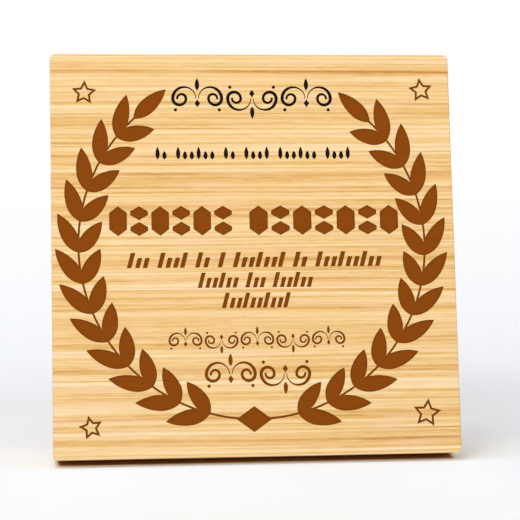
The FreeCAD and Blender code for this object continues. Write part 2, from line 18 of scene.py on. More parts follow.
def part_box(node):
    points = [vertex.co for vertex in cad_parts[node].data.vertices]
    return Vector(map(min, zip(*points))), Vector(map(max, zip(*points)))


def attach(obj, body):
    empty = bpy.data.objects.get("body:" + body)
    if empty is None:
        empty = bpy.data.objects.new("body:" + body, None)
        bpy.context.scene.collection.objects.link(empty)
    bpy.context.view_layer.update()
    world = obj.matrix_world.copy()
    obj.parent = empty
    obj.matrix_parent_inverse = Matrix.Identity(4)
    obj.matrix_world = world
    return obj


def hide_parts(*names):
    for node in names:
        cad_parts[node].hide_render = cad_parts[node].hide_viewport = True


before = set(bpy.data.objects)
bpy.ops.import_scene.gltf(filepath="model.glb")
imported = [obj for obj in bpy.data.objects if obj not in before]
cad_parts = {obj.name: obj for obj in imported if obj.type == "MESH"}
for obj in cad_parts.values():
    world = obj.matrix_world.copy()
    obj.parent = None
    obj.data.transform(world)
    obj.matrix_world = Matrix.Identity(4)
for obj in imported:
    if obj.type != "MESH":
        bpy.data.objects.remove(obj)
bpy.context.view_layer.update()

LOG = logging.getLogger("plaque")
MM = 0.001
LEAN = math.radians(12.0)
LEG_TILT = math.radians(14.0)
CRISP = math.radians(35.0)      # edges sharper than this stay crisp
NEAR = 0.01         # millimetres: places closer than this are level with each other
SAME = 0.001        # millimetres: points closer than this become one
ARRIS = 0.09        # millimetres: rounding of the sheet metal's edges

Colour = tuple[float, float, float]


# ---- shader graphs


def math_method(operation: str) -> Callable[..., "Signal"]:
    """Makes a method of Signal that adds one Math node.

    Args:
        operation: The node's operation.

    Returns:
        The method, which takes the operation's other value if it has one.
    """
    def method(self: "Signal", *others: Any) -> "Signal":
        """Adds the node."""
        values = dict(enumerate((self, *others)))
        return self.graph.node("ShaderNodeMath", {"operation": operation}, values)
    return method


class Signal:
    """A shader socket that takes part in Python arithmetic by adding Math nodes."""

    def __init__(self, graph: "Graph", socket: bpy.types.NodeSocket) -> None:
        """Wraps an output socket of a graph."""
        self.graph = graph
        self.socket = socket

    __add__ = __radd__ = math_method("ADD")
    __mul__ = __rmul__ = math_method("MULTIPLY")
    __sub__ = math_method("SUBTRACT")
    __truediv__ = math_method("DIVIDE")
    __abs__ = math_method("ABSOLUTE")
    __gt__ = math_method("GREATER_THAN")
    __lt__ = math_method("LESS_THAN")
    floor = math_method("FLOOR")

    def clamped(self) -> "Signal":
        """The value held between 0 and 1."""
        return self.graph.node("ShaderNodeClamp", {}, {"Value": self})

    def between(self, low: float, high: float) -> "Signal":
        """A smooth step from 0 at low to 1 at high, which may be the lesser of the two."""
        settings = {"interpolation_type": "SMOOTHSTEP"}
        return self.graph.node("ShaderNodeMapRange", settings,
                               {"Value": self, "From Min": low, "From Max": high})


Place = tuple[Signal, Signal, Signal]


@dataclass(frozen=True)
class Figure:
    """One layer of a surface's figure: noise drawn out in one direction.

    Attributes:
        along: Waves to a millimetre along the fibres or the brushing.
        across: Waves to a millimetre across them.
        deep: Waves to a millimetre into the piece.
        detail: How many finer waves are added.
        rough: How strong the finer waves are.
        weight: How far it moves what it acts on.
        shift: Sets it apart from the other layers.
    """

    along: float
    across: float
    deep: float
    detail: float
    rough: float
    weight: float
    shift: float = 0.0


class Graph:
    """One material's nodes, ending in a Principled shader."""

    def __init__(self, name: str) -> None:
        """Makes a material with nothing but its shader.

        Args:
            name: The material's name.
        """
        self.material = bpy.data.materials.new(name)
        self.material.use_nodes = True
        self.tree = self.material.node_tree
        self.tree.nodes.clear()
        output = self.tree.nodes.new("ShaderNodeOutputMaterial")
        self.shader = self.tree.nodes.new("ShaderNodeBsdfPrincipled")
        self.tree.links.new(self.shader.outputs[0], output.inputs["Surface"])

    def node(self, kind: str, settings: dict[str, Any] | None = None,
             inputs: dict[Any, Any] | None = None, output: Any = 0) -> Signal:
        """Adds any node.

        Args:
            kind: Node type, such as ShaderNodeTexNoise.
            settings: Node properties, set before the sockets; "stops" sets a ramp's colours.
            inputs: Socket name or number to a value or a Signal.
            output: Name or number of the output to return.

        Returns:
            The output as a Signal.
        """
        made = self.tree.nodes.new(kind)
        for name, value in (settings or {}).items():
            if name == "stops":
                self._set_stops(made.color_ramp, value)
            else:
                setattr(made, name, value)
        for name, value in (inputs or {}).items():
            self.feed(made.inputs[name], value)
        return Signal(self, made.outputs[output])

    @staticmethod
    def _set_stops(ramp: bpy.types.ColorRamp, stops: Sequence[tuple[float, Colour]]) -> None:
        """Gives a ramp its stops.

        Args:
            ramp: The ramp, which has two stops when it is new.
            stops: At least two (place, colour) pairs, in order.
        """
        while len(ramp.elements) < len(stops):
            ramp.elements.new(0.5)
        for element, (place, colour) in zip(ramp.elements, stops):
            element.position = place
            element.color = (*colour, 1.0)

    def feed(self, socket: bpy.types.NodeSocket, value: Any) -> None:
        """Links a Signal to a socket, or sets a constant on it.

        Args:
            socket: The input to fill.
            value: A Signal, a number, a colour or a vector.
        """
        if isinstance(value, Signal):
            self.tree.links.new(value.socket, socket)
        elif isinstance(value, tuple) and socket.type == "RGBA" and len(value) == 3:
            socket.default_value = (*value, 1.0)
        else:
            socket.default_value = value

    def surface(self, **inputs: Any) -> None:
        """Sets the Principled shader's sockets; underscores in names stand for spaces."""
        for name, value in inputs.items():
            self.feed(self.shader.inputs[name.replace("_", " ")], value)

    def place(self, turn: Sequence[float] = (0, 0, 0), shift: Sequence[float] = (0, 0, 0),
              scale: Sequence[float] = (1, 1, 1)) -> Signal:
        """The surface's own coordinates: scaled, then turned in radians, then shifted."""
        where = self.node("ShaderNodeTexCoord", output="Object")
        return self.node("ShaderNodeMapping", {"vector_type": "POINT"},
                         {"Vector": where, "Rotation": tuple(turn), "Location": tuple(shift),
                          "Scale": tuple(scale)})

    def split(self, vector: Signal) -> Place:
        """Takes a vector apart.

        Args:
            vector: The vector.

        Returns:
            Its X, Y and Z.
        """
        parts = self.tree.nodes.new("ShaderNodeSeparateXYZ")
        self.feed(parts.inputs[0], vector)
        return tuple(Signal(self, parts.outputs[index]) for index in range(3))

    def join(self, x: Any, y: Any, z: Any) -> Signal:
        """A vector from X, Y and Z."""
        return self.node("ShaderNodeCombineXYZ", {}, {0: x, 1: y, 2: z})

    def noise(self, vector: Signal, detail: float, roughness: float = 0.5) -> Signal:
        """Noise of 0 to 1 about 0.5, with one wave to each unit of the vector."""
        return self.node("ShaderNodeTexNoise", {"noise_dimensions": "3D"},
                         {"Vector": vector, "Scale": 1.0, "Detail": detail,
                          "Roughness": roughness, "Distortion": 0.0})

    def layer(self, figure: Figure, place: Place, seed: float = 0.0) -> Signal:
        """One layer of a figure.

        Args:
            figure: Its waves.
            place: Millimetres along, across and into the piece.
            seed: Sets one piece apart from another.

        Returns:
            The layer, 0 to 1 about 0.5.
        """
        along, across, deep = place
        where = self.join(along * figure.along, across * figure.across,
                          deep * figure.deep + (seed + figure.shift))
        return self.noise(where, figure.detail, figure.rough)

    def chance(self, number: Signal) -> Signal:
        """A fixed random value, 0 to 1, for each different number."""
        return self.node("ShaderNodeTexWhiteNoise", {"noise_dimensions": "1D"}, {"W": number},
                         output="Value")

    def blend(self, share: Any, first: Any, second: Any, mode: str = "MIX") -> Signal:
        """Mixes two colours.

        Args:
            share: 0 for the first colour, 1 for the second.
            first: Colour or Signal.
            second: Colour or Signal.
            mode: The Mix node's blend type.

        Returns:
            The mixed colour.
        """
        mixed = self.tree.nodes.new("ShaderNodeMix")
        mixed.data_type = "RGBA"
        mixed.blend_type = mode
        self.feed(mixed.inputs["Factor"], share)
        colours = [socket for socket in mixed.inputs if socket.type == "RGBA"]
        self.feed(colours[0], first)
        self.feed(colours[1], second)
        out = next(socket for socket in mixed.outputs if socket.type == "RGBA")
        return Signal(self, out)

    def ramp(self, value: Signal, stops: Sequence[tuple[float, Colour]]) -> Signal:
        """A colour looked up along (place, colour) stops."""
        return self.node("ShaderNodeValToRGB", {"stops": stops}, {"Fac": value}, output="Color")

    def bump(self, height: Signal, distance: float, strength: float = 1.0) -> Signal:
        """A normal raised by a height of 0 to 1 over a distance in metres."""
        return self.node("ShaderNodeBump", {}, {"Height": height, "Distance": distance,
                                                "Strength": strength}, output="Normal")


def srgb(red: int, green: int, blue: int) -> Colour:
    """A screen colour as linear light.

    Args:
        red: 0 to 255.
        green: 0 to 255.
        blue: 0 to 255.

    Returns:
        The same colour, each channel 0 to 1.
    """
    def linear(level: int) -> float:
        """One channel."""
        share = level / 255
        return share / 12.92 if share <= 0.04045 else ((share + 0.055) / 1.055) ** 2.4
    return linear(red), linear(green), linear(blue)


def paint(owner: bpy.types.Object, material: bpy.types.Material) -> None:
    """Gives every face of an object one material.

    Args:
        owner: The object.
        material: The material.
    """
    if not owner.material_slots:
        owner.data.materials.append(material)
    for place in owner.material_slots:
        place.material = material


# ---- where things are


@dataclass(frozen=True)
class WoodFrame:
    """A leaning timber's own directions, measured in millimetres from its low front corner.

    Attributes:
        tilt: How far it leans back, in radians.
        start: Its least depth and least height after that lean is undone, in metres.
    """

    tilt: float
    start: tuple[float, float]

    @classmethod
    def of(cls, node: str, tilt: float) -> "WoodFrame":
        """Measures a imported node.

        Args:
            node: The node's name.
            tilt: How far it leans back, in radians.

        Returns:
            Its frame.
        """
        turn = Matrix.Rotation(tilt, 3, "X")
        points = [turn @ vertex.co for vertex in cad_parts[node].data.vertices]
        return cls(tilt, (min(point.y for point in points), min(point.z for point in points)))

    def read(self, graph: Graph) -> Place:
        """Reads where the surface lies in these directions.

        Args:
            graph: The material's nodes.

        Returns:
            Millimetres to the right, back from the front face, and up the face.
        """
        depth, height = self.start
        where = graph.place(turn=(self.tilt, 0, 0), shift=(0, -depth / MM, -height / MM),
                            scale=(1 / MM, 1 / MM, 1 / MM))
        return graph.split(where)


# ---- finishes


class Grain(Enum):
    """The way a timber's fibres run."""

    ACROSS = "across"
    UPRIGHT = "upright"


@dataclass(frozen=True)
class Streak:
    """A darker line of strips in the board.

    Attributes:
        height: Its place up the board, in millimetres.
        reach: Half its width, in millimetres.
        depth: How dark it is, 0 to 1.
    """

    height: float
    reach: float
    depth: float


DRIFT = Figure(0.008, 0.04, 0.05, 1.0, 0.5, 1.5)
FIBRE = Figure(0.13, 2.2, 2.2, 3.0, 0.7, 0.7)
VEIN = Figure(0.014, 1.3, 0.6, 2.0, 0.6, 0.5)
BAND = Figure(0.003, 0.17, 0.1, 1.5, 0.5, 0.9)
THREAD = Figure(0.0025, 0.75, 0.5, 3.0, 0.65, 1.9, 31.0)
PINK_PATCH = Figure(0.03, 0.33, 0.2, 1.0, 0.5, 0.5, 7.0)
STRAW_PATCH = Figure(0.02, 0.5, 0.2, 1.0, 0.5, 0.4, 19.0)
STREAK_FADE = Figure(0.014, 0.12, 0.0, 1.0, 0.5, 0.55)

PINK_EDGE = (0.48, 0.75)    # where in its noise a patch begins, and where it is full
STRAW_EDGE = (0.5, 0.78)
FADE_EDGE = (0.3, 0.62)
MIDDLE_TONE = 0.6
STRIP_DRIFT = 1.3           # how far the strips' joints wander, as a share of the drift
STRIP_CONTRAST = 0.12
BUNDLE_WAVES = (0.014, 1.5, 1.5)    # bundles to a millimetre along, across and into the board
BUNDLE_EDGE = (0.34, 0.12)
BUNDLE_CONTRAST = 0.14
GLUE_EDGE = (0.16, 0.05)    # half a glue line's width where it ends and where it is full, mm
GLUE_STRENGTH = 0.7
END_DEPTH = 0.5             # how far a cut end darkens the face beside it, mm
END_STRENGTH = 0.45
WOOD_ROUGHNESS = 0.5
FIBRE_ROUGHNESS = 0.25
BUNDLE_ROUGHNESS = 0.08
FIBRE_RELIEF = 0.6          # shares of the raised grain
VEIN_RELIEF = 0.3
GRAIN_RELIEF = 0.05 * MM
GRAIN_STRENGTH = 0.6


@dataclass(frozen=True)
class Bamboo:
    """Side-pressed bamboo: thin strips on edge, with long pale and amber fibres.

    Attributes:
        name: The material's name.
        where: The timber's own directions.
        grain: The way its fibres run.
        seed: Sets one board's figure apart from another's.
        strip: Width of a strip, in millimetres.
        streaks: Its darker lines.
        glue: Depths of its glue lines, in millimetres.
        ends: Distance from the middle to the cut ends of the fibres, in millimetres.
        shade: Colour that the whole board is multiplied by.
    """

    name: str
    where: WoodFrame
    grain: Grain
    seed: float
    strip: float = 5.2
    streaks: tuple[Streak, ...] = ()
    glue: tuple[float, ...] = ()
    ends: float = 0.0
    shade: Colour = (1.0, 1.0, 1.0)

    def make(self) -> bpy.types.Material:
        """Builds the material.

        Returns:
            The board's own material.
        """
        graph = Graph(self.name)
        right, deep, up = self.where.read(graph)
        along, across = (right, up) if self.grain is Grain.ACROSS else (up, right)
        drift = graph.layer(DRIFT, (along, across, deep), self.seed) - 0.5
        line = across + drift * DRIFT.weight
        place = (along, line, deep)
        fibre, vein, band, thread = (graph.layer(figure, place, self.seed)
                                     for figure in (FIBRE, VEIN, BAND, THREAD))
        strip = graph.chance(((line + drift * STRIP_DRIFT) / self.strip).floor() + self.seed)
        bundle = self._bundles(graph, place)
        tone = (MIDDLE_TONE + (band - 0.5) * BAND.weight + (vein - 0.5) * VEIN.weight
                + (fibre - 0.5) * FIBRE.weight + (thread - 0.5) * THREAD.weight
                + (strip - 0.5) * STRIP_CONTRAST - bundle * BUNDLE_CONTRAST
                - self._streaks(graph, line, along))
        timber = self._tinted(graph, graph.ramp(tone.clamped(), BAMBOO_TONES), place)
        timber = graph.blend(self._glue(deep), timber, GLUE_BROWN)
        if self.ends:
            cut_end = abs(along).between(self.ends - END_DEPTH, self.ends)
            timber = graph.blend(cut_end * END_STRENGTH, timber, END_GRAIN)
        timber = graph.blend(1.0, timber, self.shade, "MULTIPLY")
        rough = WOOD_ROUGHNESS + (fibre - 0.5) * FIBRE_ROUGHNESS + bundle * BUNDLE_ROUGHNESS
        relief = fibre * FIBRE_RELIEF + (vein - bundle) * VEIN_RELIEF
        self._finish(graph, (right, deep, up), timber, rough, relief, fibre)
        return graph.material

    def _finish(self, graph: Graph, place: Place, timber: Signal,
                rough: Signal, relief: Signal, fibre: Signal) -> None:
        """Sends the plain board to the shader."""
        graph.surface(Base_Color=timber, Roughness=rough, Specular_IOR_Level=0.35,
                      Normal=graph.bump(relief, GRAIN_RELIEF, GRAIN_STRENGTH))

    def _bundles(self, graph: Graph, place: Place) -> Signal:
        """The dark bundles of fibres: dots on a cut end, hairlines on a face.

        Args:
            graph: The material's nodes.
            place: Millimetres along, across and into the board.

        Returns:
            1 in a bundle, 0 between them.
        """
        along, line, deep = place
        long, wide, thick = BUNDLE_WAVES
        where = graph.join(along * long, line * wide, deep * thick + self.seed)
        cell = graph.node("ShaderNodeTexVoronoi", {"voronoi_dimensions": "3D", "feature": "F1"},
                          {"Vector": where, "Scale": 1.0, "Randomness": 0.9}, output="Distance")
        return cell.between(*BUNDLE_EDGE)

    def _streaks(self, graph: Graph, line: Signal, along: Signal) -> Signal | float:
        """How much the board's darker lines take from its tone.

        Args:
            graph: The material's nodes.
            line: Millimetres across the fibres.
            along: Millimetres along them.

        Returns:
            What to take away, or 0 for a board without such lines.
        """
        if not self.streaks:
            return 0.0
        top = max(streak.height + streak.reach for streak in self.streaks) + 1.0
        stops = [(0.0, BLACK)]
        for streak in sorted(self.streaks, key=lambda item: item.height):
            level = (streak.depth,) * 3
            stops += [((streak.height - streak.reach) / top, BLACK), (streak.height / top, level),
                      ((streak.height + streak.reach) / top, BLACK)]
        where = graph.join(along * STREAK_FADE.along, line * STREAK_FADE.across, self.seed)
        kept = graph.noise(where, STREAK_FADE.detail).between(*FADE_EDGE) * STREAK_FADE.weight
        depth = graph.ramp(line / top, stops)
        return graph.node("ShaderNodeRGBToBW", {}, {0: depth}) * (1.0 - STREAK_FADE.weight + kept)

    def _tinted(self, graph: Graph, timber: Signal, place: Place) -> Signal:
        """Adds pink and straw patches to the board.

        Args:
            graph: The material's nodes.
            timber: The wood's colour.
            place: Millimetres along, across and into the board.

        Returns:
            The colour with the patches.
        """
        pink = graph.layer(PINK_PATCH, place, self.seed).between(*PINK_EDGE)
        straw = graph.layer(STRAW_PATCH, place, self.seed).between(*STRAW_EDGE)
        timber = graph.blend(pink * PINK_PATCH.weight, timber, PINK_TINT)
        return graph.blend(straw * STRAW_PATCH.weight, timber, STRAW_TINT)

    def _glue(self, deep: Signal) -> Signal | float:
        """Where the glue between two boards shows on their edges."""
        lines = [abs(deep - depth).between(*GLUE_EDGE) * GLUE_STRENGTH for depth in self.glue]
        return sum(lines[1:], lines[0]).clamped() if lines else 0.0


CHAR_EDGE = (0.35, 0.65)    # where in the fibres the lighter brown begins, and where it is full
CHAR_SHARE = 0.35
WALL_SHARE = 0.55
INK_EDGE = (0.4, 0.6)
CUT_ROUGHNESS = 0.4         # added where the wood is cut


@dataclass(frozen=True)
class EngravedBamboo(Bamboo):
    """The front board, burnt brown where it is engraved and inked black near its top.

    Attributes:
        border: Plain margin round the board, in millimetres.
        size: Width and height of the board, in millimetres.
        skin: Depth where the engraving begins, in millimetres.
        edge: Depth over which wood turns brown, and height of a wall's foot, coloured as the floor.
        wall: Depth over which a wall's dark brown fades down to that foot.
        floor: Depth of the burnt floor, in millimetres.
        ink_line: Height that parts the wide inked row from the narrow scroll over it.
        ink_foot: Lowest inked height.
        scroll_reach: Half the width of the scroll, in millimetres.
        row_reach: Half the width of the row, in millimetres.
    """

    border: float = 1.0
    size: tuple[float, float] = (150.0, 150.0)
    skin: float = 0.03
    edge: float = 0.02
    wall: float = 0.1
    floor: float = 0.35
    ink_line: float = 118.0
    ink_foot: float = 105.0
    scroll_reach: float = 31.6
    row_reach: float = 39.0

    def _finish(self, graph: Graph, place: Place, timber: Signal,
                rough: Signal, relief: Signal, fibre: Signal) -> None:
        """Sends the engraved board to the shader.

        Args:
            graph: The material's nodes.
            place: Millimetres to the right, back and up.
            timber: The wood's colour.
            rough: Its roughness.
            relief: Its raised grain, 0 to 1.
            fibre: Its finest layer.
        """
        right, deep, up = place
        width, tall = self.size
        inside = ((abs(right) < width / 2 - self.border) * (up > self.border)
                  * (up < tall - self.border))
        cut = inside * deep.between(self.skin - self.edge, self.skin) * (deep < self.floor * 2)
        scroll = (up > self.ink_line) * (abs(right) < self.scroll_reach)
        row = (up > self.ink_foot) * (up < self.ink_line) * (abs(right) < self.row_reach)
        inked = scroll + row
        wall = deep.between(self.floor - self.edge, self.floor - self.edge - self.wall)
        char = graph.blend(fibre.between(*CHAR_EDGE) * CHAR_SHARE, BURNT, BURNT_LIGHT)
        char = graph.blend(wall * WALL_SHARE, char, BURNT_WALL)
        mark = graph.blend(inked, char, graph.blend(fibre.between(*INK_EDGE), INK, INK_WORN))
        graph.surface(Base_Color=graph.blend(cut, timber, mark),
                      Roughness=rough + cut * CUT_ROUGHNESS, Specular_IOR_Level=0.06,
                      Normal=graph.bump(relief, GRAIN_RELIEF, GRAIN_STRENGTH))


BRUSH = Figure(0.35, 9.0, 9.0, 3.0, 0.65, 0.22)
PATCH = Figure(0.3, 0.4, 0.4, 3.0, 0.6, 0.16)
SPECK = Figure(2.2, 2.2, 2.2, 2.0, 0.6, 0.35)
PATCH_EDGE = (0.62, 0.35)
SPECK_EDGE = (0.58, 0.75)
BRUSH_RELIEF = 0.02 * MM
BRUSH_STRENGTH = 0.35


@dataclass(frozen=True)
class Metal:
    """A drawn and brushed metal with a little tarnish.

    Attributes:
        name: The material's name.
        bright: Its clean colour.
        dull: Its tarnished colour.
        rough: Its mean roughness.
        tarnish: How much of it has dulled, 0 to 1.
    """

    name: str
    bright: Colour
    dull: Colour
    rough: float
    tarnish: float

    def make(self) -> bpy.types.Material:
        """Builds the material.

        Returns:
            The metal's own material.
        """
        graph = Graph(self.name)
        place = graph.split(graph.place(scale=(1 / MM, 1 / MM, 1 / MM)))
        brush, patch, speck = (graph.layer(figure, place) for figure in (BRUSH, PATCH, SPECK))
        worn = (patch.between(*PATCH_EDGE) * self.tarnish
                + speck.between(*SPECK_EDGE) * SPECK.weight).clamped()
        graph.surface(Base_Color=graph.blend(worn, self.bright, self.dull), Metallic=1.0,
                      Roughness=self.rough + (brush - 0.5) * BRUSH.weight + worn * PATCH.weight,
                      Normal=graph.bump(brush, BRUSH_RELIEF, BRUSH_STRENGTH))
        return graph.material


BLACK: Colour = (0.0, 0.0, 0.0)
BAMBOO_TONES = (
    (0.0, srgb(190, 128, 62)),
    (0.24, srgb(214, 162, 94)),
    (0.42, srgb(231, 184, 115)),
    (0.56, srgb(239, 198, 136)),
    (0.74, srgb(246, 211, 158)),
    (1.0, srgb(253, 225, 182)),
)
GLUE_BROWN = srgb(150, 98, 50)
END_GRAIN = srgb(196, 142, 84)
PINK_TINT = srgb(244, 203, 162)
STRAW_TINT = srgb(228, 194, 112)
BURNT = srgb(134, 67, 9)
BURNT_LIGHT = srgb(147, 79, 18)
BURNT_WALL = srgb(104, 48, 6)
INK = srgb(16, 10, 6)
INK_WORN = srgb(40, 29, 20)
FRONT_STREAKS = (
    Streak(5.0, 1.8, 0.16), Streak(14.5, 1.0, 0.14), Streak(31.5, 1.8, 0.3),
    Streak(41.5, 3.2, 0.24), Streak(65.0, 2.2, 0.22), Streak(72.5, 2.6, 0.28),
    Streak(88.0, 2.0, 0.14), Streak(103.2, 2.2, 0.3), Streak(137.5, 2.6, 0.16),
    Streak(143.0, 1.4, 0.28),
)


# ---- modelling by hand


def leave_edit_mode() -> None:
    """Goes back to object mode, wherever Blender is."""
    if bpy.context.object is not None and bpy.context.object.mode != "OBJECT":
        bpy.ops.object.mode_set(mode="OBJECT")


def pick(piece: bpy.types.Object) -> None:
    """Makes an object the only selected one, and the active one, in object mode.

    Args:
        piece: The object.
    """
    leave_edit_mode()
    bpy.ops.object.select_all(action="DESELECT")
    piece.select_set(True)
    bpy.context.view_layer.objects.active = piece


class Workpiece:
    """One mesh that is shaped by Blender's own operators, in millimetres until it is placed."""

    def __init__(self, name: str, primitive: Callable[..., Any], **settings: Any) -> None:
        """Adds a primitive at its size and place.

        Args:
            name: The piece's name.
            primitive: The operator that adds it.
            settings: That operator's settings.
        """
        leave_edit_mode()
        bpy.ops.object.select_all(action="DESELECT")
        primitive(**settings)
        self.object = bpy.context.active_object
        self.object.name = self.object.data.name = name
        bpy.ops.object.transform_apply(location=True, rotation=True, scale=True)

    def _choose(self, kind: str, parts: str, chosen: Callable[[Any], bool]) -> None:
        """Selects the mesh's parts that pass a test, and nothing else.

        Args:
            kind: The selection mode: VERT, EDGE or FACE.
            parts: The mesh's list of them.
            chosen: The test.
        """
        self._edit()
        bpy.ops.mesh.select_mode(type=kind)
        bpy.ops.mesh.select_all(action="DESELECT")
        bpy.ops.object.mode_set(mode="OBJECT")
        for part in getattr(self.object.data, parts):
            part.select = chosen(part)
        bpy.ops.object.mode_set(mode="EDIT")

    def _edit(self) -> None:
        """Makes this the only selected object and goes into edit mode."""
        pick(self.object)
        bpy.ops.object.mode_set(mode="EDIT")

    def faces(self, test: Callable[[Vector, Vector], bool]) -> None:
        """Selects faces by centre and normal."""
        self._choose("FACE", "polygons", lambda face: test(face.center, face.normal))

    def edges(self, test: Callable[[Vector, Vector], bool]) -> None:
        """Selects edges by their two ends."""
        points = self.object.data.vertices
        self._choose("EDGE", "edges", lambda edge: test(
            points[edge.vertices[0]].co, points[edge.vertices[1]].co))

    def points(self, test: Callable[[Vector], bool]) -> None:
        """Selects points by place."""
        self._choose("VERT", "vertices", lambda point: test(point.co))

    def extrude(self, x: float = 0.0, y: float = 0.0, z: float = 0.0) -> None:
        """Extrudes the selected faces and moves them."""
        bpy.ops.mesh.extrude_region_move(TRANSFORM_OT_translate={"value": (x, y, z)})

    def extrude_edges(self, x: float = 0.0, y: float = 0.0, z: float = 0.0) -> None:
        """Extrudes the selected open edges and moves them."""
        bpy.ops.mesh.extrude_edges_move(TRANSFORM_OT_translate={"value": (x, y, z)})

    def resize(self, factors: Sequence[float], centre: Sequence[float] = (0, 0, 0)) -> None:
        """Scales what is selected about a centre."""
        bpy.ops.transform.resize(value=tuple(factors), center_override=tuple(centre))

    def bevel(self, width: float, segments: int, affect: str = "EDGES") -> None:
        """Rounds the selected edges or points."""
        bpy.ops.mesh.bevel(offset=width, segments=segments, affect=affect, profile=0.5)

    def spin(self, angle: float, steps: int, centre: Sequence[float],
             axis: Sequence[float]) -> None:
        """Sweeps the selected edges round an axis."""
        bpy.ops.mesh.spin(steps=steps, angle=angle, center=tuple(centre), axis=tuple(axis))

    def bisect(self, place: Sequence[float], normal: Sequence[float]) -> None:
        """Cuts every face along a plane and keeps both sides.

        Args:
            place: A point of the plane.
            normal: The plane's normal.
        """
        self._edit()
        bpy.ops.mesh.select_all(action="SELECT")
        bpy.ops.mesh.bisect(plane_co=tuple(place), plane_no=tuple(normal))

    def tidy(self) -> None:
        """Merges doubled points and turns every face outwards."""
        self._edit()
        bpy.ops.mesh.select_all(action="SELECT")
        bpy.ops.mesh.remove_doubles(threshold=SAME)
        bpy.ops.mesh.normals_make_consistent(inside=False)
        bpy.ops.object.mode_set(mode="OBJECT")

    def modify(self, kind: str, **settings: Any) -> None:
        """Adds a modifier and applies it.

        Args:
            kind: The modifier's type.
            settings: Its properties.
        """
        pick(self.object)
        modifier = self.object.modifiers.new(kind.title(), kind)
        for name, value in settings.items():
            setattr(modifier, name, value)
        bpy.ops.object.modifier_apply(modifier=modifier.name)

    def soften(self, width: float, sharp: float) -> None:
        """Rounds every edge that turns by more than so many degrees."""
        self.modify("BEVEL", width=width, segments=2, limit_method="ANGLE",
                    angle_limit=math.radians(sharp), use_clamp_overlap=True)

    def combine(self, other: "Workpiece", operation: str) -> None:
        """Cuts or joins another workpiece, which is used up."""
        self.modify("BOOLEAN", object=other.object, operation=operation, solver="EXACT")
        bpy.data.objects.remove(other.object)

    def copy(self, name: str) -> bpy.types.Object:
        """Copies the object and its mesh.

        Args:
            name: The copy's name.

        Returns:
            The copy, in the scene.
        """
        twin = self.object.copy()
        twin.data = self.object.data.copy()
        twin.name = twin.data.name = name
        bpy.context.scene.collection.objects.link(twin)
        return twin


def settle(piece: bpy.types.Object, place: Matrix) -> None:
    """Shades a finished piece and puts its millimetres in place as metres.

    Args:
        piece: The piece.
        place: Its place in the whole, in metres.
    """
    pick(piece)
    piece.matrix_world = place @ Matrix.Scale(MM, 4)
    bpy.ops.object.transform_apply(location=True, rotation=True, scale=True)
    bpy.ops.object.shade_smooth_by_angle(angle=CRISP)


# ---- sub-assemblies


@dataclass
class Timber:
    """The three plies of the panel, the cleat on its back and the leg."""

    panel: WoodFrame = field(default_factory=lambda: WoodFrame.of("face_ply", LEAN))
    leg: WoodFrame = field(default_factory=lambda: WoodFrame.of("easel_leg", -LEG_TILT))
    ply: float = 5.0

    def dress(self) -> None:
        """Gives each wooden node its board."""
        first, second = self.ply, self.ply * 2
        boards = {
            "face_ply": EngravedBamboo("engraved_front_board", self.panel, Grain.ACROSS, 3.0,
                                       streaks=FRONT_STREAKS, glue=(first,), ends=75.0),
            "core_ply": Bamboo("cross_grained_core", self.panel, Grain.UPRIGHT, 21.0, strip=6.5,
                               glue=(first, second), shade=srgb(246, 236, 222)),
            "back_ply": Bamboo("rear_board", self.panel, Grain.ACROSS, 44.0, glue=(second,),
                               ends=75.0, shade=srgb(250, 244, 236)),
            "hinge_cleat": Bamboo("cleat_board", self.panel, Grain.ACROSS, 67.0, strip=7.0,
                                  shade=srgb(248, 238, 222), ends=17.0),
            "easel_leg": Bamboo("leg_board", self.leg, Grain.UPRIGHT, 85.0, strip=6.0,
                                shade=srgb(250, 241, 228)),
        }
        for node, board in boards.items():
            paint(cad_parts[node], board.make())
            LOG.info("dressed %s in %s", node, board.name)


class Side(Enum):
    """Which timber a hinge leaf is screwed to, as the way it points from the pin."""

    CLEAT = 1
    LEG = -1


